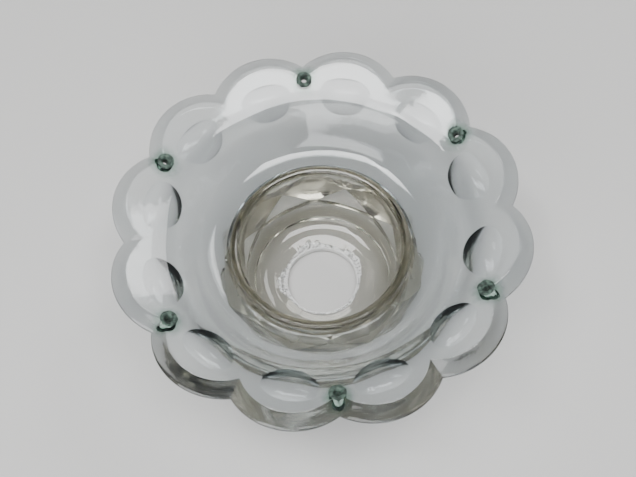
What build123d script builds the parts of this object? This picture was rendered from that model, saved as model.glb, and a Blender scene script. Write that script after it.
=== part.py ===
"""Cut-glass candle cup with a scalloped drip dish and eyelets for hanging prisms.

Two glass pieces on one upright axis. The cup stands on its foot and is open through its floor.
The dish drops over the cup's neck and rests on the seat round it. Brass eyelets line the pin
holes at every second notch of the dish. +Z is up, and the origin is on the axis at the foot.
"""

import os
from math import cos, radians, sin, sqrt, tan

from build123d import *

# Driving dimensions, in millimetres and degrees
petal_count = 12
petal_tip_radius = 60.0
notch_radius = 55.5
first_notch_angle = 90.0
glass_thickness = 4.0

cup_radius = 27.2
cup_height = 30.0
rim_thickness = 3.0
hole_radius = 11.2
facet_count = 8
fit_gap = 1.0

# Dish section: ledge round the cup, cove, steep wall, crown and sloping brim
dish_hole_radius = cup_radius + fit_gap
ledge_slope = 12.0
ledge_end_radius = 31.0
ledge_end_height = 28.4
cove_radius = 8.0
wall_slope = 54.0
wall_length = 9.0
crown_radius = 8.0
brim_slope = 22.0
underside_bend_radius = 18.0
section_end_radius = petal_tip_radius + 3.0

# Rim bevel, pin holes and thumbprints
bevel_contour_radius = 14.4
bevel_centre_radius = 42.2
bevel_fall = 0.68
unbevelled_radius = 48.5
pin_circle_radius = 49.7
pin_count = 6
pin_hole_radius = 1.85
thumbprint_slope = 30.0
thumbprint_depth = 1.5
wheel_radius = 27.0
wheel_edge_radius = 7.5
wheel_half_width = 6.6

# Cup: foot, flange and lozenge facets
foot_radius = 27.5
foot_recess = 0.8
recess_radius = 24.5
flange_radius = 33.4
flange_flat = 31.4
flange_bottom = 3.0
flange_top = 6.5
lozenge_flat_top = cup_radius / cos(radians(180 / facet_count))
lozenge_flat_base = 31.8
wall_foot_height = 12.0
wall_taper = 0.8
floor_edge_radius = 15.5
floor_edge_height = 4.6
floor_inner_height = 3.4
hole_chamfer_width = 1.2
hole_wall_length = 2.0

# Petal circles pass through the notches and the petal tips
half_petal = radians(180 / petal_count)
notch_x = notch_radius * cos(half_petal)
notch_y = notch_radius * sin(half_petal)
petal_rise = petal_tip_radius - notch_x
petal_radius = (notch_y**2 + petal_rise**2) / (2 * petal_rise)
petal_centre_radius = petal_tip_radius - petal_radius
first_petal_angle = first_notch_angle + 180 / petal_count


def direction(angle):
    """Unit vector in the section plane, at an angle above the horizontal."""
    return (cos(radians(angle)), sin(radians(angle)))


def wall_run(depth, bend_radius):
    """Length of straight wall left below a bend of a radius, at a depth below the upper surface."""
    half_turn = radians((wall_slope - brim_slope) / 2)
    return wall_length + (crown_radius - depth - bend_radius) * tan(half_turn)


def dish_curve(depth, start_radius, bend_radius):
    """Draws the dish's section line at a depth below the upper surface, from the hole outwards."""
    out, up = direction(ledge_slope)
    ledge_end = (ledge_end_radius + depth * up, ledge_end_height - depth * out)
    start_height = ledge_end[1] - (ledge_end[0] - start_radius) * up / out
    ledge = Line((start_radius, start_height), ledge_end)
    cove = JernArc(
        start=ledge @ 1,
        tangent=(out, up),
        radius=cove_radius + depth,
        arc_size=wall_slope - ledge_slope,
    )
    wall = PolarLine(start=cove @ 1, length=wall_run(depth, bend_radius), angle=wall_slope)
    bend = JernArc(
        start=wall @ 1,
        tangent=direction(wall_slope),
        radius=bend_radius,
        arc_size=brim_slope - wall_slope,
    )
    brim_length = (section_end_radius - (bend @ 1).X) / cos(radians(brim_slope))
    brim = PolarLine(start=bend @ 1, length=brim_length, angle=brim_slope)
    return ledge, brim


def bend_point(depth, bend_radius, slope):
    """Radius and height of the point of the bend below the brim where it has a slope."""
    ledge_out, ledge_up = direction(ledge_slope)
    wall_out, wall_up = direction(wall_slope)
    out, up = direction(slope)
    cove = cove_radius + depth
    run = wall_run(depth, bend_radius)
    x = ledge_end_radius + depth * ledge_up
    z = ledge_end_height - depth * ledge_out
    x += cove * (wall_up - ledge_up) + run * wall_out + bend_radius * (wall_up - up)
    z += cove * (ledge_out - wall_out) + run * wall_up + bend_radius * (out - wall_out)
    return x, z


def brim_height(radius):
    """Height of the brim's upper surface at a radius."""
    x, z = bend_point(0, crown_radius, brim_slope)
    return z + (radius - x) * tan(radians(brim_slope))


def sloping_plane(radius, height, slope, angle, depth=0.0):
    """Plane through a point of the section: x runs up the slope, z is the normal, at a depth below the point."""
    out, up = direction(slope)
    ax, ay = cos(radians(angle)), sin(radians(angle))
    along = radius + depth * up
    return Plane(
        origin=(along * ax, along * ay, height - depth * out),
        x_dir=(out * ax, out * ay, up),
        z_dir=(-up * ax, -up * ay, out),
    )


def brim_plane(radius, angle, depth=0.0):
    """Plane lying on the brim, at a depth below its upper surface."""
    return sloping_plane(radius, brim_height(radius), brim_slope, angle, depth)


petal_angles = [first_petal_angle + 360 / petal_count * i for i in range(petal_count)]
pin_angles = [first_notch_angle + 360 / pin_count * i for i in range(pin_count)]

# Cutters are long enough to pass right through the glass
cutter_length = 16.0
cutter_size = 90.0
cutter_margin = 4.0

# Envelope under the bevels: one wide cone for each petal, square to the brim, and the middle
cone_above = 2.0
cone_below = 14.0
with BuildPart() as bevel_envelope:
    Cylinder(unbevelled_radius, 2 * cup_height, align=(Align.CENTER, Align.CENTER, Align.MIN))
    for angle in petal_angles:
        with Locations(brim_plane(bevel_centre_radius, angle).offset(-cone_below)):
            Cone(
                bevel_contour_radius + cone_below / bevel_fall,
                bevel_contour_radius - cone_above / bevel_fall,
                cone_below + cone_above,
                align=(Align.CENTER, Align.CENTER, Align.MIN),
            )

# Crowned cutting wheel for the thumbprints, turning about the slope line
wheel_crown = wheel_edge_radius - sqrt(wheel_edge_radius**2 - wheel_half_width**2)
wheel_side_radius = wheel_radius - wheel_crown
with BuildPart() as thumbprint_wheel:
    with BuildSketch(Plane.XZ):
        with BuildLine():
            crowned_edge = ThreePointArc(
                (-wheel_half_width, wheel_side_radius),
                (0, wheel_radius),
                (wheel_half_width, wheel_side_radius),
            )
            Polyline(crowned_edge @ 1, (wheel_half_width, 0), (-wheel_half_width, 0), crowned_edge @ 0)
        make_face()
    revolve(axis=Axis.X)

# Scalloped dish
with BuildPart() as scalloped_dish:
    with BuildSketch(Plane.XZ):
        with BuildLine():
            upper_ledge, upper_brim = dish_curve(0, dish_hole_radius, crown_radius)
            lower_ledge, lower_brim = dish_curve(
                glass_thickness, dish_hole_radius + fit_gap, underside_bend_radius
            )
            Line(upper_brim @ 1, lower_brim @ 1)
            Polyline(lower_ledge @ 0, (dish_hole_radius, (lower_ledge @ 0).Y), upper_ledge @ 0)
        make_face()
    revolve(axis=Axis.Z)
    with BuildSketch(Plane.XY):
        Circle(petal_centre_radius)
        with PolarLocations(petal_centre_radius, petal_count, start_angle=first_petal_angle):
            Circle(petal_radius)
    extrude(amount=2 * cup_height, mode=Mode.INTERSECT)
    add(bevel_envelope.part, mode=Mode.INTERSECT)
    for angle in petal_angles:
        print_spot = bend_point(glass_thickness, underside_bend_radius, thumbprint_slope)
        wheel_drop = wheel_radius - thumbprint_depth
        with Locations(sloping_plane(*print_spot, thumbprint_slope, angle, wheel_drop)):
            add(thumbprint_wheel.part, mode=Mode.SUBTRACT)
    for angle in pin_angles:
        with Locations(brim_plane(pin_circle_radius, angle, glass_thickness / 2)):
            Cylinder(pin_hole_radius, cutter_length, mode=Mode.SUBTRACT)
dish_seat = (lower_ledge @ 0).Y
scalloped_dish.part.label = "scalloped_dish"

# Faceted cup
mid_height = (flange_top + dish_seat) / 2
lozenge_lean = (lozenge_flat_base - lozenge_flat_top) / (dish_seat - flange_top)
lozenge_flat_mid = lozenge_flat_base - lozenge_lean * (mid_height - flange_top)
facet_corner = cos(radians(180 / facet_count))
side_corner_radius = lozenge_flat_mid / facet_corner


def facet_plane(angle, low_flat, low_height, high_flat, high_height):
    """Plane through two distances from the axis at two heights, facing outwards at an angle."""
    ax, ay = cos(radians(angle)), sin(radians(angle))
    rise = Vector((high_flat - low_flat) * ax, (high_flat - low_flat) * ay, high_height - low_height)
    across = Vector(-ay, ax, 0)
    return Plane(origin=(low_flat * ax, low_flat * ay, low_height), x_dir=across, z_dir=across.cross(rise))


with BuildPart() as faceted_cup:
    with BuildSketch(Plane.XZ):
        with BuildLine():
            Polyline(
                (0, 0),
                (side_corner_radius, 0),
                (side_corner_radius, mid_height),
                (lozenge_flat_top, dish_seat),
                (0, dish_seat),
                close=True,
            )
        make_face()
    revolve(axis=Axis.Z)
    for i in range(facet_count):
        lozenge_angle = first_notch_angle + 360 / facet_count * i
        triangle_angle = lozenge_angle + 180 / facet_count
        facets = [
            facet_plane(lozenge_angle, lozenge_flat_base, flange_top, lozenge_flat_top, dish_seat),
            facet_plane(triangle_angle, side_corner_radius, mid_height, cup_radius, dish_seat),
            facet_plane(
                triangle_angle,
                lozenge_flat_base * facet_corner,
                flange_top,
                side_corner_radius,
                mid_height,
            ),
        ]
        for facet in facets:
            with Locations(facet):
                Box(
                    cutter_size,
                    cutter_size,
                    cutter_size,
                    align=(Align.CENTER, Align.CENTER, Align.MIN),
                    mode=Mode.SUBTRACT,
                )
    with BuildSketch(Plane.XY) as foot_outline:
        Circle(flange_radius)
        RegularPolygon(
            flange_flat,
            facet_count,
            major_radius=False,
            rotation=first_notch_angle,
            mode=Mode.INTERSECT,
        )
    extrude(amount=flange_top)
    with BuildSketch(Plane.XZ):
        with BuildLine():
            Polyline(
                (foot_radius, -cutter_margin),
                (foot_radius, 0),
                (flange_radius, flange_bottom),
                (flange_radius + cutter_margin, flange_bottom),
                (flange_radius + cutter_margin, -cutter_margin),
                close=True,
            )
        make_face()
    revolve(axis=Axis.Z, mode=Mode.SUBTRACT)
    with BuildSketch(Plane.XY.offset(dish_seat)):
        Circle(cup_radius)
    extrude(amount=cup_height - rim_thickness / 2 - dish_seat)
    with BuildSketch(Plane.XZ):
        with Locations((cup_radius - rim_thickness / 2, cup_height - rim_thickness / 2)):
            Circle(rim_thickness / 2)
    revolve(axis=Axis.Z)
    inner_radius = cup_radius - rim_thickness
    with BuildSketch(Plane.XZ):
        with BuildLine():
            bore_wall = Line(
                (inner_radius, cup_height - rim_thickness / 2),
                (inner_radius - wall_taper, wall_foot_height),
            )
            cove = TangentArc(bore_wall @ 1, (floor_edge_radius, floor_edge_height), tangent=bore_wall % 1)
            Polyline(
                cove @ 1,
                (hole_radius + hole_chamfer_width, floor_inner_height),
                (hole_radius, foot_recess + hole_wall_length),
                (hole_radius, -cutter_margin),
                (0, -cutter_margin),
                (0, cup_height),
                (inner_radius, cup_height),
                bore_wall @ 0,
            )
        make_face()
    revolve(axis=Axis.Z, mode=Mode.SUBTRACT)
    with BuildSketch(Plane.XY):
        Circle(recess_radius)
    extrude(amount=foot_recess, mode=Mode.SUBTRACT)
faceted_cup.part.label = "faceted_cup"

# Brass eyelet: a barrel with a turned-over flange at each end
eyelet_gap = 0.05
eyelet_bore_radius = 0.9
flange_reach = 2.4
flange_thickness = 0.4
with BuildPart() as eyelet:
    barrel_length = glass_thickness + 2 * eyelet_gap
    Cylinder(pin_hole_radius - eyelet_gap, barrel_length)
    for side in (1, -1):
        with Locations((0, 0, side * (barrel_length + flange_thickness) / 2)):
            Cylinder(flange_reach, flange_thickness)
    fillet(eyelet.edges().filter_by(GeomType.CIRCLE).group_by(Axis.Z)[-1], flange_thickness / 2)
    fillet(eyelet.edges().filter_by(GeomType.CIRCLE).group_by(Axis.Z)[0], flange_thickness / 2)
    Cylinder(eyelet_bore_radius, cutter_length, mode=Mode.SUBTRACT)

os.makedirs("parts", exist_ok=True)
export_step(scalloped_dish.part, "parts/scalloped_dish.step")
export_step(faceted_cup.part, "parts/faceted_cup.step")
for i, angle in enumerate(pin_angles, start=1):
    plane = brim_plane(pin_circle_radius, angle, glass_thickness / 2)
    with BuildPart() as pin_eyelet:
        with Locations(plane):
            add(eyelet.part)
    pin_eyelet.part.label = f"pin_eyelet_{i}"
    export_step(pin_eyelet.part, f"parts/pin_eyelet_{i}.step")

print("seat", dish_seat, "petal radius", petal_radius, "brim at pins", brim_height(pin_circle_radius))
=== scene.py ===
"""Looks of the cut-glass candle cup and its scalloped drip dish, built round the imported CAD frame.

Lengths are in millimetres while a shape is worked out and in metres in every mesh.
"""

from math import cos, pi, radians, sin, sqrt, tan

import bmesh
import bpy
from mathutils import Matrix, Vector, noise


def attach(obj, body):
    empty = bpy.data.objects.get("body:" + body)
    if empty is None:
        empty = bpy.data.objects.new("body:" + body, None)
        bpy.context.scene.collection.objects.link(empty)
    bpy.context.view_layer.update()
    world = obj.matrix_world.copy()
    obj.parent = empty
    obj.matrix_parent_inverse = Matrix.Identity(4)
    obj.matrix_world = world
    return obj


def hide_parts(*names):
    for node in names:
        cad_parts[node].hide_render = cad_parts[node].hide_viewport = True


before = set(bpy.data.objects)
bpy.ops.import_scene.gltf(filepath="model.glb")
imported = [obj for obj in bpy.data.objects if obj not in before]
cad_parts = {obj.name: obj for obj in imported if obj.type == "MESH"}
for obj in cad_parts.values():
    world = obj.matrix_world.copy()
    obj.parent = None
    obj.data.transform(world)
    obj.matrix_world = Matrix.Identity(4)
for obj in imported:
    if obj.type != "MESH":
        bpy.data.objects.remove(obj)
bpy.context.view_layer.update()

MM = 0.001

# Sizes shared with the CAD source
PETALS = 12
PINS = 6
FACETS = 8
FIRST_NOTCH = radians(90)
TIP_RADIUS = 60.0
NOTCH_RADIUS = 55.5
THICKNESS = 4.0
CUP_RADIUS = 27.2
CUP_HEIGHT = 30.0
RIM_THICKNESS = 3.0
HOLE_RADIUS = 11.2
DISH_HOLE_RADIUS = 28.2
LEDGE_END = (31.0, 28.4)
LEDGE_SLOPE = radians(12)
COVE_RADIUS = 8.0
WALL_SLOPE = radians(54)
WALL_LENGTH = 9.0
CROWN_RADIUS = 8.0
UNDER_BEND_RADIUS = 18.0
BRIM_SLOPE = radians(22)
PIN_CIRCLE = 49.7
PIN_HOLE = 1.85
BEVEL_WIDTH = 4.4
EDGE_THICKNESS = 0.8
PRINT_SLOPE = radians(30)
PRINT_DEPTH = 1.5
WHEEL_RADIUS = 27.0
WHEEL_EDGE = 7.5
WHEEL_HALF_WIDTH = 6.6

HALF_PETAL = pi / PETALS
NOTCH_X = NOTCH_RADIUS * cos(HALF_PETAL)
NOTCH_Y = NOTCH_RADIUS * sin(HALF_PETAL)
PETAL_RISE = TIP_RADIUS - NOTCH_X
PETAL_RADIUS = (NOTCH_Y**2 + PETAL_RISE**2) / (2 * PETAL_RISE)
PETAL_CENTRE = TIP_RADIUS - PETAL_RADIUS

# Names of the values stored in the meshes that mark a kind of surface
GROUND_MASK = "ground"
PRINT_MASK = "thumbprint"

# Kinds of surface while the dish is cut
UNCUT = 0
PRINT_CUT = 1
PIN_CUT = 2


# ---------------------------------------------------------------- mesh helpers
def new_piece(name, mesh, body, nodes):
    """Links a mesh as a piece that rides on a body and stands for its CAD nodes."""
    piece = bpy.data.objects.new(name, mesh)
    bpy.context.scene.collection.objects.link(piece)
    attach(piece, body)
    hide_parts(*nodes)
    return piece


def polar(radius, angle, height):
    """A point in metres, from a radius and a height in millimetres."""
    return (radius * cos(angle) * MM, radius * sin(angle) * MM, height * MM)


def arc_points(start, heading, radius, turn, steps):
    """Points along an arc in the section plane, after its start. A positive turn is to the left."""
    side = 1 if turn > 0 else -1
    centre = (start[0] - side * radius * sin(heading), start[1] + side * radius * cos(heading))
    points = []
    for i in range(1, steps + 1):
        angle = heading + turn * i / steps
        points.append((centre[0] + side * radius * sin(angle), centre[1] - side * radius * cos(angle)))
    return points


def straight(start, end, steps):
    """Points along a straight run, after its start."""
    return [
        (start[0] + (end[0] - start[0]) * i / steps, start[1] + (end[1] - start[1]) * i / steps)
        for i in range(1, steps + 1)
    ]


def rounded(points, radii, steps=4):
    """A section line with its corners rounded: one radius for each point, 0 for a sharp one."""
    line = [points[0]]
    for before, corner, after, radius in zip(points, points[1:], points[2:], radii[1:-1]):
        if radius == 0:
            line.append(corner)
            continue
        into = Vector((corner[0] - before[0], corner[1] - before[1])).normalized()
        out = Vector((after[0] - corner[0], after[1] - corner[1])).normalized()
        turn = into.angle_signed(out)
        reach = radius * tan(abs(turn) / 2)
        first = Vector(corner) - into * reach
        last = Vector(corner) + out * reach
        for i in range(steps + 1):
            t = i / steps
            bend = first.lerp(Vector(corner), t).lerp(Vector(corner).lerp(last, t), t)
            line.append((bend.x, bend.y))
    line.append(points[-1])
    return line


def skin_rings(rings):
    """Faces of a closed tube through rings of equal size, given as rows of vertex numbers."""
    faces = []
    for low, high in zip(rings, rings[1:] + rings[:1]):
        size = len(low)
        for i in range(size):
            j = (i + 1) % size
            faces.append((low[i], low[j], high[j], high[i]))
    return faces


def outward(mesh):
    """Makes a closed mesh's normals point out."""
    shape = bmesh.new()
    shape.from_mesh(mesh)
    bmesh.ops.recalc_face_normals(shape, faces=shape.faces)
    shape.to_mesh(mesh)
    shape.free()


def smooth_with_creases(mesh, angle):
    """Shades smooth, with a crease at every edge sharper than the angle."""
    mesh.polygons.foreach_set("use_smooth", [True] * len(mesh.polygons))
    mesh.set_sharp_from_angle(angle=angle)


# ---------------------------------------------------------------- materials
def node(tree, kind, **inputs):
    """Adds a shader node and sets its inputs by name. A socket as a value is linked."""
    made = tree.nodes.new(kind)
    for name, value in inputs.items():
        socket = made.inputs[name.replace("_", " ")]
        if isinstance(value, bpy.types.NodeSocket):
            tree.links.new(value, socket)
        else:
            socket.default_value = value
    return made


def ramp(tree, source, stops):
    """A colour ramp on a value, from (place, colour) stops."""
    made = tree.nodes.new("ShaderNodeValToRGB")
    tree.links.new(source, made.inputs["Fac"])
    while len(made.color_ramp.elements) < len(stops):
        made.color_ramp.elements.new(0.5)
    for element, (place, colour) in zip(made.color_ramp.elements, stops):
        element.position = place
        element.color = (*colour, 1)
    return made.outputs["Color"]


def new_material(name):
    """A material, its node tree and its main shader."""
    made = bpy.data.materials.new(name)
    made.use_nodes = True
    tree = made.node_tree
    return made, tree, tree.nodes["Principled BSDF"]


def object_place(tree):
    """Object coordinates in millimetres."""
    where = tree.nodes.new("ShaderNodeTexCoord")
    mapping = node(tree, "ShaderNodeMapping", Vector=where.outputs["Object"])
    mapping.inputs["Scale"].default_value = (1 / MM,) * 3
    return mapping.outputs["Vector"]


def maths(tree, kind, first, second):
    """A maths node on two values or sockets."""
    made = tree.nodes.new("ShaderNodeMath")
    made.operation = kind
    for socket, value in zip(made.inputs, (first, second)):
        if isinstance(value, bpy.types.NodeSocket):
            tree.links.new(value, socket)
        else:
            socket.default_value = value
    return made.outputs[0]


def axis_distance(tree, where):
    """Distance from the object's upright axis, in millimetres, with the x and y that it comes from."""
    parts = node(tree, "ShaderNodeSeparateXYZ", Vector=where)
    x, y = parts.outputs["X"], parts.outputs["Y"]
    square = maths(tree, "ADD", maths(tree, "MULTIPLY", x, x), maths(tree, "MULTIPLY", y, y))
    return maths(tree, "SQRT", square, 0), x, y


def fade_between(tree, value, start, end, from_level=0.0, to_level=1.0):
    """A value that goes from one level to another while its source goes from start to end."""
    made = node(tree, "ShaderNodeMapRange", Value=value)
    made.inputs["From Min"].default_value = start
    made.inputs["From Max"].default_value = end
    made.inputs["To Min"].default_value = from_level
    made.inputs["To Max"].default_value = to_level
    return made.outputs["Result"]


def near_pins(tree, where):
    """A value that is 1 at each pin hole and falls to 0 a few millimetres away, with a ragged edge."""
    radius, x, y = axis_distance(tree, where)
    turn = maths(tree, "ARCTAN2", y, x)
    sector = maths(tree, "WRAP", maths(tree, "SUBTRACT", turn, FIRST_NOTCH), pi / PINS)
    sector.node.inputs[2].default_value = -pi / PINS
    side = maths(tree, "MULTIPLY", radius, sector)
    along = maths(tree, "SUBTRACT", radius, PIN_CIRCLE + 1.2)
    reach = maths(tree, "ADD", maths(tree, "MULTIPLY", side, side), maths(tree, "MULTIPLY", along, along))
    ragged = node(tree, "ShaderNodeTexNoise", Vector=where, Scale=0.7, Detail=4.0)
    raggedness = maths(tree, "MULTIPLY", ragged.outputs["Fac"], 3.0)
    edge = maths(tree, "ADD", maths(tree, "SQRT", reach, 0), raggedness)
    return fade_between(tree, edge, 3.4, 6.4, 1.0, 0.0)


def blend_colour(tree, share, first, second):
    """Mixes two colours, given as sockets or plain, by a share from 0 to 1."""
    made = tree.nodes.new("ShaderNodeMix")
    made.data_type = "RGBA"
    tree.links.new(share, made.inputs["Factor"])
    for socket, value in zip((made.inputs["A"], made.inputs["B"]), (first, second)):
        if isinstance(value, bpy.types.NodeSocket):
            tree.links.new(value, socket)
        else:
            socket.default_value = (*value, 1)
    return made.outputs["Result"]


def glass_material(name, tints, absorbed, density):
    """Clear glass with a slow change of tint, and light lost along its path inside."""
    made, tree, shader = new_material(name)
    where = object_place(tree)
    cloud = node(tree, "ShaderNodeTexNoise", Vector=where, Scale=0.045, Detail=2.0)
    colour = ramp(tree, cloud.outputs["Fac"], [(0.3, tints[0]), (0.7, tints[1])])
    shader.inputs["Transmission Weight"].default_value = 1.0
    shader.inputs["IOR"].default_value = 1.52
    volume = tree.nodes.new("ShaderNodeVolumeAbsorption")
    volume.inputs["Color"].default_value = (*absorbed, 1)
    volume.inputs["Density"].default_value = density
    tree.links.new(volume.outputs["Volume"], tree.nodes["Material Output"].inputs["Volume"])
    return made, tree, shader, where, colour


def raise_surface(tree, shader, heights):
    """Bumps a shader's surface by a sum of heights in millimetres."""
    total = heights[0]
    for height in heights[1:]:
        total = maths(tree, "ADD", total, height)
    bump = node(tree, "ShaderNodeBump", Height=total, Strength=1.0, Distance=MM)
    tree.links.new(bump.outputs["Normal"], shader.inputs["Normal"])


def wavy(tree, where, waves, height, detail=3.0):
    """Noise with a number of waves in a millimetre and a height in millimetres."""
    made = node(tree, "ShaderNodeTexNoise", Vector=where, Scale=waves, Detail=detail)
    return maths(tree, "MULTIPLY", made.outputs["Fac"], height)


def mask_value(tree, name):
    """A value stored in the mesh under a name: 1 on the surfaces that it marks and 0 elsewhere."""
    made = tree.nodes.new("ShaderNodeAttribute")
    made.attribute_name = name
    return made.outputs["Fac"]


def dish_glass_material():
    """The dish's glass, duller in the cut thumbprints and darkened there with painted shade, and stained
    green round the pin holes.
    """
    tints = ((0.93, 0.95, 0.96), (0.975, 0.98, 0.98))
    made, tree, shader, where, colour = glass_material("dish_glass", tints, (0.70, 0.77, 0.78), 85)
    cut = mask_value(tree, PRINT_MASK)
    # The cut thumbprints get a darker, greyer tint: painted shade that makes the cut ovals read darker. It is
    # not a colour of the glass.
    colour = blend_colour(tree, cut, colour, (0.80, 0.83, 0.85))
    stained = blend_colour(tree, near_pins(tree, where), colour, (0.36, 0.55, 0.45))
    tree.links.new(stained, shader.inputs["Base Color"])
    handled = fade_between(tree, wavy(tree, where, 0.3, 1.0), 0.0, 1.0, 0.02, 0.10)
    dull = maths(tree, "ADD", handled, maths(tree, "MULTIPLY", cut, 0.10))
    tree.links.new(dull, shader.inputs["Roughness"])
    raise_surface(tree, shader, [wavy(tree, where, 0.12, 0.05), wavy(tree, where, 0.5, 0.006)])
    return made


def cup_glass_material():
    """The cup's glass: warm in its thick facets, finely turned on the rim, where a cream tint is a painted
    highlight, and ground round the hole, where a grey tint is painted shade.
    """
    tints = ((0.94, 0.935, 0.90), (0.98, 0.975, 0.955))
    made, tree, shader, where, colour = glass_material("cup_glass", tints, (0.74, 0.73, 0.66), 80)
    height = node(tree, "ShaderNodeSeparateXYZ", Vector=where).outputs["Z"]
    rim = fade_between(tree, height, CUP_HEIGHT - 1.9, CUP_HEIGHT - 1.5)
    ground = mask_value(tree, GROUND_MASK)
    edge = fade_between(tree, axis_distance(tree, where)[0], HOLE_RADIUS + 0.5, HOLE_RADIUS + 0.7, 1.0, 0.0)
    cells = node(tree, "ShaderNodeTexVoronoi", Vector=where, Scale=1.25)
    flakes = fade_between(tree, cells.outputs["Distance"], 0.30, 0.55)
    white = maths(tree, "MULTIPLY", maths(tree, "MAXIMUM", edge, flakes), ground)
    # The rim band gets a cream tint: a painted highlight standing in for the band of light along the rim. The
    # rougher finish and fine rings are the real turned rim.
    colour = blend_colour(tree, rim, colour, (0.93, 0.905, 0.83))
    # The ground ring gets a grey tint: painted shade standing in for the dark glints among its chips. The
    # white flakes, the white edge of the hole, the roughness and the grain are its real frosted finish.
    colour = blend_colour(tree, ground, colour, (0.66, 0.68, 0.68))
    colour = blend_colour(tree, white, colour, (0.97, 0.975, 0.98))
    tree.links.new(colour, shader.inputs["Base Color"])
    dull = maths(tree, "ADD", maths(tree, "MULTIPLY", ground, 0.24), maths(tree, "MULTIPLY", rim, 0.12))
    tree.links.new(dull, shader.inputs["Roughness"])
    clear = maths(tree, "SUBTRACT", 1.0, maths(tree, "MULTIPLY", white, 0.6))
    tree.links.new(clear, shader.inputs["Transmission Weight"])
    turned = node(tree, "ShaderNodeTexWave", Vector=where, Scale=0.55, Distortion=1.2, Detail=2.0)
    turned.wave_type = "RINGS"
    turned.rings_direction = "Z"
    rings = maths(tree, "MULTIPLY", maths(tree, "MULTIPLY", turned.outputs["Fac"], rim), 0.02)
    grain = maths(tree, "MULTIPLY", wavy(tree, where, 2.4, 0.45, detail=6.0), ground)
    raise_surface(tree, shader, [wavy(tree, where, 0.15, 0.014), rings, grain])
    return made


dish_glass = dish_glass_material()
cup_glass = cup_glass_material()


def verdigris_brass():
    """Old brass, dark green with pale blue-green bloom and a little worn metal."""
    made, tree, shader = new_material("verdigris_brass")
    where = object_place(tree)
    patches = node(tree, "ShaderNodeTexNoise", Vector=where, Scale=0.9, Detail=6.0, Roughness=0.65)
    green = ramp(
        tree,
        patches.outputs["Fac"],
        [
            (0.34, (0.007, 0.011, 0.009)),
            (0.47, (0.020, 0.034, 0.027)),
            (0.58, (0.060, 0.102, 0.080)),
            (0.74, (0.085, 0.095, 0.062)),
        ],
    )
    tree.links.new(green, shader.inputs["Base Color"])
    worn = fade_between(tree, patches.outputs["Fac"], 0.68, 0.80)
    tree.links.new(worn, shader.inputs["Metallic"])
    rough = fade_between(tree, patches.outputs["Fac"], 0.35, 0.70, 0.85, 0.50)
    tree.links.new(rough, shader.inputs["Roughness"])
    grain = node(tree, "ShaderNodeTexNoise", Vector=where, Scale=3.5, Detail=5.0)
    bump = node(tree, "ShaderNodeBump", Height=grain.outputs["Fac"], Strength=1.0, Distance=0.25 * MM)
    tree.links.new(bump.outputs["Normal"], shader.inputs["Normal"])
    return made


green_brass = verdigris_brass()


# ---------------------------------------------------------------- scalloped dish
def petal_offset(angle):
    """Angle from the middle of the petal that an angle falls in."""
    return (angle - FIRST_NOTCH) % (2 * HALF_PETAL) - HALF_PETAL


def petal_outline(angle, inset):
    """Radius of the petals' outline, or of a line inside it at a distance."""
    side = petal_offset(angle)
    arc = PETAL_RADIUS - inset
    return PETAL_CENTRE * cos(side) + sqrt(arc**2 - (PETAL_CENTRE * sin(side)) ** 2)


def dish_section(depth, start_radius, bend_radius, bend_steps):
    """Points of the dish's section from its hole to the start of the brim, at a depth in the glass."""
    end = (LEDGE_END[0] + depth * sin(LEDGE_SLOPE), LEDGE_END[1] - depth * cos(LEDGE_SLOPE))
    start = (start_radius, end[1] - (end[0] - start_radius) * tan(LEDGE_SLOPE))
    points = [start] + straight(start, end, 3)
    points += arc_points(end, LEDGE_SLOPE, COVE_RADIUS + depth, WALL_SLOPE - LEDGE_SLOPE, 9)
    foot = points[-1]
    half_turn = (WALL_SLOPE - BRIM_SLOPE) / 2
    run = WALL_LENGTH + (CROWN_RADIUS - depth - bend_radius) * tan(half_turn)
    head = (foot[0] + run * cos(WALL_SLOPE), foot[1] + run * sin(WALL_SLOPE))
    points += straight(foot, head, 5)
    points += arc_points(head, WALL_SLOPE, bend_radius, BRIM_SLOPE - WALL_SLOPE, bend_steps)
    return points


PETAL_COLUMNS = 44
TOP_SECTION = dish_section(0, DISH_HOLE_RADIUS, CROWN_RADIUS, 12)
UNDER_SECTION = dish_section(THICKNESS, DISH_HOLE_RADIUS + 1, UNDER_BEND_RADIUS, 16)


def brim_height(radius, section):
    """Height of the brim's upper or lower surface at a radius."""
    return section[-1][1] + (radius - section[-1][0]) * tan(BRIM_SLOPE)


def petal_rows(angle):
    """Section points beyond the crown at one angle: brim, bevel, edge and underside, as (radius, height)."""
    crown = TOP_SECTION[-1]
    contour = petal_outline(angle, BEVEL_WIDTH)
    outline = petal_outline(angle, 0)
    contour_point = (contour, brim_height(contour, TOP_SECTION))
    under_tip = (outline, brim_height(outline, UNDER_SECTION))
    upper_tip = (outline, under_tip[1] + EDGE_THICKNESS)
    corners = [crown, contour_point, upper_tip, under_tip, UNDER_SECTION[-1]]
    line = rounded(corners, [0, 0.5, 0.3, 0.25, 0], steps=4)
    brim = straight(crown, line[1], 9)[:-1]
    bevel = straight(line[5], line[6], 5)[:-1]
    under = straight(line[-2], UNDER_SECTION[-1], 14)[:-1]
    return brim + line[1:6] + bevel + line[6:-1] + under


def dish_base_mesh():
    """The dish without its cuts: one ring of section points at each angle."""
    columns = PETALS * PETAL_COLUMNS
    hole_foot = (DISH_HOLE_RADIUS, UNDER_SECTION[0][1])
    vertices = []
    for i in range(columns):
        angle = FIRST_NOTCH + 2 * pi * i / columns
        section = TOP_SECTION + petal_rows(angle) + UNDER_SECTION[::-1] + [hole_foot]
        vertices += [polar(radius, angle, height) for radius, height in section]
    size = len(vertices) // columns
    rings = [list(range(i * size, (i + 1) * size)) for i in range(columns)]
    mesh = bpy.data.meshes.new("dish_base")
    mesh.from_pydata(vertices, [], skin_rings(rings))
    outward(mesh)
    return mesh


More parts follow.
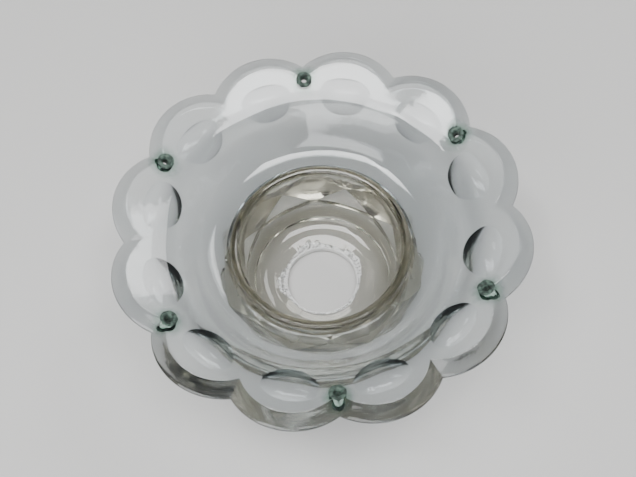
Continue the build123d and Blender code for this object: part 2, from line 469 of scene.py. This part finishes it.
def sloping_frame(radius, height, slope, angle, depth=0.0):
    """Matrix to a spot of the section: x up the slope, y round the dish, z square out of the glass."""
    along = Vector((cos(slope) * cos(angle), cos(slope) * sin(angle), sin(slope)))
    normal = Vector((-sin(slope) * cos(angle), -sin(slope) * sin(angle), cos(slope)))
    spot = Vector((radius * cos(angle), radius * sin(angle), height)) - depth * normal
    made = Matrix((along, normal.cross(along), normal)).transposed().to_4x4()
    made.translation = spot * MM
    return made


def brim_frame(angle, depth):
    """Matrix to a pin hole's place on the brim."""
    return sloping_frame(PIN_CIRCLE, brim_height(PIN_CIRCLE, TOP_SECTION), BRIM_SLOPE, angle, depth)


def print_frame(angle):
    """Matrix to a thumbprint's place on the bend of the underside."""
    end = UNDER_SECTION[-1]
    radius = end[0] + UNDER_BEND_RADIUS * (sin(BRIM_SLOPE) - sin(PRINT_SLOPE))
    height = end[1] - UNDER_BEND_RADIUS * (cos(BRIM_SLOPE) - cos(PRINT_SLOPE))
    return sloping_frame(radius, height, PRINT_SLOPE, angle)


CUTTER_REACH = 6.0


def wheel_cut(shape, place):
    """Adds to a bmesh the closed cap of a crowned cutting wheel, as it dips into the underside."""
    across = 36
    round_steps = 44
    half_turn = radians(24)
    grid = []
    for i in range(across + 1):
        u = -WHEEL_HALF_WIDTH + 2 * WHEEL_HALF_WIDTH * i / across
        wheel = WHEEL_RADIUS - (WHEEL_EDGE - sqrt(WHEEL_EDGE**2 - u**2))
        row = []
        for j in range(round_steps + 1):
            turn = -half_turn + 2 * half_turn * j / round_steps
            height = wheel * cos(turn) - (WHEEL_RADIUS - PRINT_DEPTH)
            row.append(shape.verts.new(place @ Vector((u, wheel * sin(turn), height))))
        grid.append(row)
    faces = []
    for i in range(across):
        for j in range(round_steps):
            faces.append(shape.faces.new((grid[i][j], grid[i + 1][j], grid[i + 1][j + 1], grid[i][j + 1])))
    border = grid[0] + [row[-1] for row in grid[1:]] + grid[-1][-2::-1] + [row[0] for row in grid[-2:0:-1]]
    down = place.to_3x3() @ Vector((0, 0, -CUTTER_REACH))
    low = [shape.verts.new(v.co + down) for v in border]
    size = len(border)
    for i in range(size):
        j = (i + 1) % size
        faces.append(shape.faces.new((border[i], border[j], low[j], low[i])))
    faces.append(shape.faces.new(low))
    for face in faces:
        face.material_index = PRINT_CUT


def pin_cut(shape, place):
    """Adds to a bmesh a closed cylinder that drills a pin hole."""
    steps = 56
    rings = []
    for height in (CUTTER_REACH, -CUTTER_REACH):
        ring = []
        for i in range(steps):
            turn = 2 * pi * i / steps
            ring.append(shape.verts.new(place @ Vector((PIN_HOLE * cos(turn), PIN_HOLE * sin(turn), height))))
        rings.append(ring)
    faces = [shape.faces.new(rings[0]), shape.faces.new(rings[1][::-1])]
    for i in range(steps):
        j = (i + 1) % steps
        faces.append(shape.faces.new((rings[0][i], rings[1][i], rings[1][j], rings[0][j])))
    for face in faces:
        face.material_index = PIN_CUT


def cutter_object():
    """All of the dish's cuts as one closed mesh: twelve thumbprints and six pin holes."""
    shape = bmesh.new()
    unit = Matrix.Scale(MM, 4)
    for i in range(PETALS):
        angle = FIRST_NOTCH + HALF_PETAL * (2 * i + 1)
        wheel_cut(shape, print_frame(angle) @ unit)
    for i in range(PINS):
        angle = FIRST_NOTCH + 2 * pi / PINS * i
        pin_cut(shape, brim_frame(angle, THICKNESS / 2) @ unit)
    bmesh.ops.recalc_face_normals(shape, faces=shape.faces)
    mesh = bpy.data.meshes.new("dish_cuts")
    shape.to_mesh(mesh)
    shape.free()
    cutter = bpy.data.objects.new("dish_cuts", mesh)
    bpy.context.scene.collection.objects.link(cutter)
    return cutter


def crease_between_materials(mesh):
    """Marks the edges sharp where one kind of surface meets another."""
    sides = {}
    for face in mesh.polygons:
        for key in face.edge_keys:
            sides.setdefault(key, []).append(face.material_index)
    for edge in mesh.edges:
        kinds = sides.get(edge.key, [])
        if len(set(kinds)) > 1:
            edge.use_edge_sharp = True


def make_dish():
    """The dish with its cuts taken out, as one mesh of one glass."""
    base = bpy.data.objects.new("dish_uncut", dish_base_mesh())
    bpy.context.scene.collection.objects.link(base)
    cutter = cutter_object()
    for mesh in (base.data, cutter.data):
        for _ in (UNCUT, PRINT_CUT, PIN_CUT):
            mesh.materials.append(dish_glass)
    cut = base.modifiers.new("cuts", "BOOLEAN")
    cut.operation = "DIFFERENCE"
    cut.object = cutter
    cut.solver = "MANIFOLD"
    cut.material_mode = "INDEX"
    finished = bpy.data.meshes.new_from_object(
        base.evaluated_get(bpy.context.evaluated_depsgraph_get())
    )
    finished.name = "scalloped_dish_glass"
    for used in (base, cutter):
        bpy.data.objects.remove(used)
    smooth_with_creases(finished, radians(30))
    crease_between_materials(finished)
    cut_faces = [float(face.material_index == PRINT_CUT) for face in finished.polygons]
    finished.attributes.new(PRINT_MASK, "FLOAT", "FACE").data.foreach_set("value", cut_faces)
    finished.polygons.foreach_set("material_index", [UNCUT] * len(finished.polygons))
    finished.materials.clear()
    finished.materials.append(dish_glass)
    return new_piece("scalloped_dish_glass", finished, "dish", ["scalloped_dish"])


make_dish()


# ---------------------------------------------------------------- faceted cup
FLANGE_RADIUS = 33.4
FLANGE_FLAT = 31.4
FLANGE_TOP = 6.5
FLANGE_BOTTOM = 3.0
FLANGE_EASE = 0.35
EASE_SAG = 0.1
FOOT_RADIUS = 27.5
FOOT_RECESS = 0.8
RECESS_RADIUS = 24.5
CONE_START = 29.2
SEAT = UNDER_SECTION[0][1]
INNER_RADIUS = CUP_RADIUS - RIM_THICKNESS
WALL_FOOT = (INNER_RADIUS - 0.8, 12.0)
COVE_END = (15.5, 4.6)
COVE_STEPS = 16
FLOOR_END = (HOLE_RADIUS + 1.2, 3.4)
HOLE_WALL = 2.0
FACET_HALF = pi / FACETS
FACET_TOP_CORNER = CUP_RADIUS / cos(FACET_HALF)
FACET_BASE_CORNER = 31.8
FACET_BEVEL = 0.28
MID_HEIGHT = (FLANGE_TOP + SEAT) / 2
LEAN = (FACET_BASE_CORNER - FACET_TOP_CORNER) / (SEAT - FLANGE_TOP)
SIDE_CORNER = (FACET_BASE_CORNER - LEAN * (MID_HEIGHT - FLANGE_TOP)) / cos(FACET_HALF)
FACET_STEPS = 48
CUP_STEPS = FACETS * FACET_STEPS
GROUND_ROWS = 12

# Angle and reach in millimetres of each group of chips round the hole
CHIP_GROUPS = ((radians(105), 1.5), (radians(182), 1.9), (radians(22), 1.6), (radians(300), 0.5))
CHIP_SPREAD = radians(27)


def octagon(corner_radius, angle):
    """Radius of an octagon that has a corner at the first notch's angle."""
    side = (angle - FIRST_NOTCH) % (2 * FACET_HALF) - FACET_HALF
    return corner_radius * cos(FACET_HALF) / cos(side)


def flange_outline(angle, inset=0.0):
    """Radius of the flange, a circle with eight flats, or of a line inside it at a distance."""
    return min(octagon((FLANGE_FLAT - inset) / cos(FACET_HALF), angle), FLANGE_RADIUS - inset)


def cone_under(radius):
    """Height of the sloping underside of the flange."""
    return (radius - FOOT_RADIUS) * FLANGE_BOTTOM / (FLANGE_RADIUS - FOOT_RADIUS)


def cup_angles():
    return [FIRST_NOTCH + 2 * pi * i / CUP_STEPS for i in range(CUP_STEPS)]


def chip_width(angle):
    """How far the ground ring of the hole reaches out, with wide groups of chips and a ragged edge."""
    width = 0.0
    for centre, reach in CHIP_GROUPS:
        away = (angle - centre + pi) % (2 * pi) - pi
        width += reach * max(0.0, 1 - (away / CHIP_SPREAD) ** 2)
    spot = Vector((4 * cos(angle), 4 * sin(angle), 2.0))
    ragged = noise.noise(spot * 1.4) + 0.6 * noise.noise(spot * 3.7)
    return max(0.0, width * (0.75 + 0.8 * ragged)) + 0.12 * abs(ragged)


def chip_depth(angle, radius, height):
    """Depth of the small shell-shaped flakes in the ground ring."""
    spot = Vector((radius * cos(angle), radius * sin(angle), height))
    flakes = noise.voronoi(spot * 1.6)[0]
    grains = noise.voronoi(spot * 3.6)[0]
    return 0.5 * min(1.0, flakes[1] - flakes[0]) + 0.25 * min(1.0, grains[0])


def add_ring(shape, radius, height):
    """One ring of vertices. The radius may depend on the angle, and the height on the radius."""
    made = []
    for angle in cup_angles():
        r = radius(angle) if callable(radius) else radius
        z = height(r) if callable(height) else height
        made.append(shape.verts.new(polar(r, angle, z)))
    return made


def skin_between(shape, rings):
    """Smooth faces from each ring of vertices to the next."""
    for low, high in zip(rings, rings[1:]):
        for i in range(CUP_STEPS):
            j = (i + 1) % CUP_STEPS
            face = shape.faces.new((low[i], low[j], high[j], high[i]))
            face.smooth = True


def underside_rings(shape):
    """Rings of the foot and the flange, from the hole out and up to the foot of the facets."""

    def lower_corner(radius):
        return cone_under(radius) + EASE_SAG / 2

    foot_line = rounded(
        [
            (HOLE_RADIUS, FOOT_RECESS),
            (RECESS_RADIUS, FOOT_RECESS),
            (RECESS_RADIUS, 0),
            (FOOT_RADIUS, 0),
            (CONE_START, cone_under(CONE_START)),
        ],
        [0, 0.35, 0.3, 0.6, 0],
    )
    foot_line = foot_line[:1] + straight(foot_line[0], foot_line[1], 5) + foot_line[2:]
    rings = [add_ring(shape, r, z) for r, z in foot_line]
    rings.append(add_ring(shape, lambda a: flange_outline(a, FLANGE_EASE), cone_under))
    rings.append(add_ring(shape, lambda a: flange_outline(a, EASE_SAG), lower_corner))
    rings.append(add_ring(shape, flange_outline, lambda r: cone_under(r) + FLANGE_EASE))
    rings.append(add_ring(shape, flange_outline, FLANGE_TOP - FLANGE_EASE))
    rings.append(add_ring(shape, lambda a: flange_outline(a, EASE_SAG), FLANGE_TOP - EASE_SAG))
    rings.append(add_ring(shape, lambda a: flange_outline(a, FLANGE_EASE), FLANGE_TOP))
    rings.append(add_ring(shape, lambda a: octagon(FACET_BASE_CORNER, a), FLANGE_TOP))
    return rings


def cut_facets(shape, base, top):
    """Lozenges and triangles, cut flat between two octagons. Returns the edges where they meet."""
    sides = []
    for k in range(FACETS):
        angle = FIRST_NOTCH + FACET_HALF * (2 * k + 1)
        sides.append(shape.verts.new(polar(SIDE_CORNER, angle, MID_HEIGHT)))
    facets = []
    for k in range(FACETS):
        first = k * FACET_STEPS
        row = [(first + i) % CUP_STEPS for i in range(FACET_STEPS + 1)]
        facets.append(shape.faces.new([base[i] for i in row] + [sides[k]]))
        facets.append(shape.faces.new([top[i] for i in reversed(row)] + [sides[k]]))
        facets.append(shape.faces.new((base[first], sides[k], top[first], sides[k - 1])))
    return [edge for edge in shape.edges if sum(face in facets for face in edge.link_faces) == 2]


def inner_line():
    """Section of the neck, the rim and the inside wall, down to the end of the cove."""
    rim_centre = (CUP_RADIUS - RIM_THICKNESS / 2, CUP_HEIGHT - RIM_THICKNESS / 2)
    seat_edge = (CUP_RADIUS, SEAT + 0.05)
    line = [seat_edge] + straight(seat_edge, (CUP_RADIUS, rim_centre[1]), 4)
    line += arc_points(line[-1], radians(90), RIM_THICKNESS / 2, radians(180), 20)
    line += straight(line[-1], WALL_FOOT, 12)
    heading = Vector((WALL_FOOT[0] - INNER_RADIUS, WALL_FOOT[1] - rim_centre[1])).normalized()
    chord = Vector(COVE_END) - Vector(WALL_FOOT)
    side = Vector((heading.y, -heading.x))
    centre = Vector(WALL_FOOT) + side * (chord.length_squared / (2 * chord.dot(side)))
    start_arm = Vector(WALL_FOOT) - centre
    sweep = start_arm.angle_signed(Vector(COVE_END) - centre)
    for i in range(1, COVE_STEPS + 1):
        arm = Matrix.Rotation(-sweep * i / COVE_STEPS, 2) @ start_arm
        line.append(tuple(centre + arm))
    return line


def polished_floor(shape, cove_ring, cove_end, slope):
    """Rings of the floor from the cove in to the ragged edge of the ground ring."""
    rings = [cove_ring]
    for t in (0.25, 0.5, 0.75, 1.0):
        line = []
        for angle in cup_angles():
            end = FLOOR_END[0] + chip_width(angle)
            r = cove_end[0] + (end - cove_end[0]) * t
            line.append(shape.verts.new(polar(r, angle, cove_end[1] + (r - cove_end[0]) * slope)))
        rings.append(line)
    return rings


def ground_point(row, angle, slope):
    """Radius and height on a row of the ground ring: down its slope first, then down the hole."""
    if row > GROUND_ROWS:
        return HOLE_RADIUS, FOOT_RECESS + HOLE_WALL * (2 - row / GROUND_ROWS)
    outer = FLOOR_END[0] + chip_width(angle)
    t = row / GROUND_ROWS
    start = FLOOR_END[1] + (outer - FLOOR_END[0]) * slope
    return outer + (HOLE_RADIUS - outer) * t, start + (FOOT_RECESS + HOLE_WALL - start) * t


def ground_ring(shape, slope):
    """Rings of the ground edge of the hole with its chips, which fade at both ends."""
    rings = []
    for row in range(1, 2 * GROUND_ROWS):
        line = []
        for angle in cup_angles():
            r, z = ground_point(row, angle, slope)
            depth = min(1.0, row / 2, (2 * GROUND_ROWS - row) / 4) * chip_depth(angle, r, z)
            line.append(shape.verts.new(polar(r + 0.6 * depth, angle, z - depth)))
        rings.append(line)
    return rings


def make_cup():
    """The cup as one closed mesh, with a mark on the vertices of its ground ring."""
    shape = bmesh.new()
    mask = shape.verts.layers.float.new(GROUND_MASK)
    under = underside_rings(shape)
    skin_between(shape, under)
    top = add_ring(shape, lambda a: octagon(FACET_TOP_CORNER, a), SEAT)
    cut_edges = cut_facets(shape, under[-1], top)

    line = inner_line()
    inside = [top] + [add_ring(shape, r, z) for r, z in line]
    skin_between(shape, inside)

    cove_end = line[-1]
    slope = (cove_end[1] - FLOOR_END[1]) / (cove_end[0] - FLOOR_END[0])
    polished = polished_floor(shape, inside[-1], cove_end, slope)
    skin_between(shape, polished)
    ground = ground_ring(shape, slope)
    skin_between(shape, [polished[-1]] + ground + [under[0]])
    for ring in ground:
        for vertex in ring:
            vertex[mask] = 1.0

    bmesh.ops.bevel(shape, geom=cut_edges, offset=FACET_BEVEL * MM, segments=3, affect="EDGES", profile=0.5)
    bmesh.ops.recalc_face_normals(shape, faces=shape.faces)
    mesh = bpy.data.meshes.new("faceted_cup_glass")
    shape.to_mesh(mesh)
    shape.free()
    mesh.materials.append(cup_glass)
    mesh.set_sharp_from_angle(angle=radians(32))
    return new_piece("faceted_cup_glass", mesh, "cup", ["faceted_cup"])


make_cup()


# ---------------------------------------------------------------- eyelets
EYELET_BORE = 0.9
EYELET_BARREL = PIN_HOLE - 0.05
EYELET_FLANGE = 2.4
EYELET_HALF = THICKNESS / 2 + 0.05


def make_eyelet(number):
    """A turned brass tube with both ends rolled over, its flanges lumpy with verdigris."""
    angle = FIRST_NOTCH + 2 * pi / PINS * (number - 1)
    place = brim_frame(angle, THICKNESS / 2)
    half = [
        (EYELET_BORE, 0),
        (EYELET_BORE, EYELET_HALF - 0.3),
        (EYELET_BORE + 0.45, EYELET_HALF + 0.4),
        (EYELET_FLANGE, EYELET_HALF + 0.32),
        (EYELET_FLANGE, EYELET_HALF),
        (EYELET_BARREL, EYELET_HALF),
        (EYELET_BARREL, 0),
    ]
    upper = rounded(half, [0, 0.4, 0.7, 0.15, 0.1, 0, 0], steps=5)
    section = upper[1:] + [(r, -z) for r, z in upper[-2:0:-1]]
    steps = 64
    vertices = []
    for i in range(steps):
        turn = 2 * pi * i / steps
        for r, z in section:
            spot = Vector((r * cos(turn), r * sin(turn), z))
            crust = noise.noise(1.3 * spot + Vector((0, 0, number * 7.3))) + noise.noise(3.1 * spot) / 2
            if abs(z) > EYELET_HALF:
                spot *= 1 + 0.06 * crust
            vertices.append(place @ (spot * MM))
    size = len(section)
    rings = [list(range(i * size, (i + 1) * size)) for i in range(steps)]
    mesh = bpy.data.meshes.new(f"pin_eyelet_brass_{number}")
    mesh.from_pydata(vertices, [], skin_rings(rings))
    outward(mesh)
    smooth_with_creases(mesh, radians(50))
    mesh.materials.append(green_brass)
    return new_piece(mesh.name, mesh, "dish", [f"pin_eyelet_{number}"])


for pin in range(1, PINS + 1):
    make_eyelet(pin)


# ---------------------------------------------------------------- studio
def studio_floor():
    """A plain pale floor just below the cup's foot."""
    mesh = bpy.data.meshes.new("studio_floor")
    reach = 2.5
    drop = -0.00005
    mesh.from_pydata(
        [(-reach, -reach, drop), (reach, -reach, drop), (reach, reach, drop), (-reach, reach, drop)],
        [],
        [(0, 1, 2, 3)],
    )
    made, _, shader = new_material("pale_floor")
    shader.inputs["Base Color"].default_value = (0.46, 0.457, 0.45, 1)
    shader.inputs["Roughness"].default_value = 0.8
    mesh.materials.append(made)
    floor = bpy.data.objects.new("studio_floor", mesh)
    bpy.context.scene.collection.objects.link(floor)


def soft_box(name, place, aim, width, height, watts):
    """A rectangular light at a place, turned to face a point."""
    light = bpy.data.lights.new(name, "AREA")
    light.shape = "RECTANGLE"
    light.size = width
    light.size_y = height
    light.energy = watts
    lamp = bpy.data.objects.new(name, light)
    lamp.location = place
    lamp.rotation_mode = "QUATERNION"
    lamp.rotation_quaternion = (Vector(aim) - Vector(place)).to_track_quat("-Z", "Y")
    bpy.context.scene.collection.objects.link(lamp)


studio_floor()
soft_box("overhead_box", (0.0, -0.16, 1.0), (0, 0, 0.03), 0.85, 0.34, 14)
soft_box("front_box", (-0.45, -1.0, 0.8), (0, 0, 0.03), 1.3, 0.9, 18)
soft_box("right_panel", (0.52, 0.50, 0.84), (0, 0, 0.03), 0.38, 0.28, 2.6)
soft_box("left_panel", (-0.40, 0.04, 0.97), (0, 0, 0.03), 0.28, 0.22, 3)

world = bpy.data.worlds.new("studio")
bpy.context.scene.world = world
world.use_nodes = True
world.node_tree.nodes["Background"].inputs["Color"].default_value = (0.14, 0.143, 0.15, 1)


# ---------------------------------------------------------------- camera
def photo_camera():
    """Looks down at the cup from the front, as the photograph does."""
    elevation = radians(63.82)
    roll = radians(-3.15)
    distance = 0.285
    turn = Matrix.Rotation(radians(-2.6), 3, "Z")
    look = turn @ Vector((-0.0006, 0.0155, 0)) + Vector((0, 0, 0.0015))
    level = Vector((1, 0, 0))
    up = Vector((0, sin(elevation), cos(elevation)))
    right = turn @ (level * cos(roll) + up * sin(roll))
    above = turn @ (up * cos(roll) - level * sin(roll))
    ahead = turn @ Vector((0, cos(elevation), -sin(elevation)))
    camera = bpy.data.cameras.new("photo_camera")
    camera.sensor_width = 36
    camera.lens = camera.sensor_width * 850 / 636
    camera.clip_start = 0.01
    holder = bpy.data.objects.new("photo_camera", camera)
    holder.matrix_world = Matrix.Translation(look - ahead * distance) @ Matrix(
        (right, above, -ahead)
    ).transposed().to_4x4()
    bpy.context.scene.collection.objects.link(holder)
    bpy.context.scene.camera = holder


photo_camera()
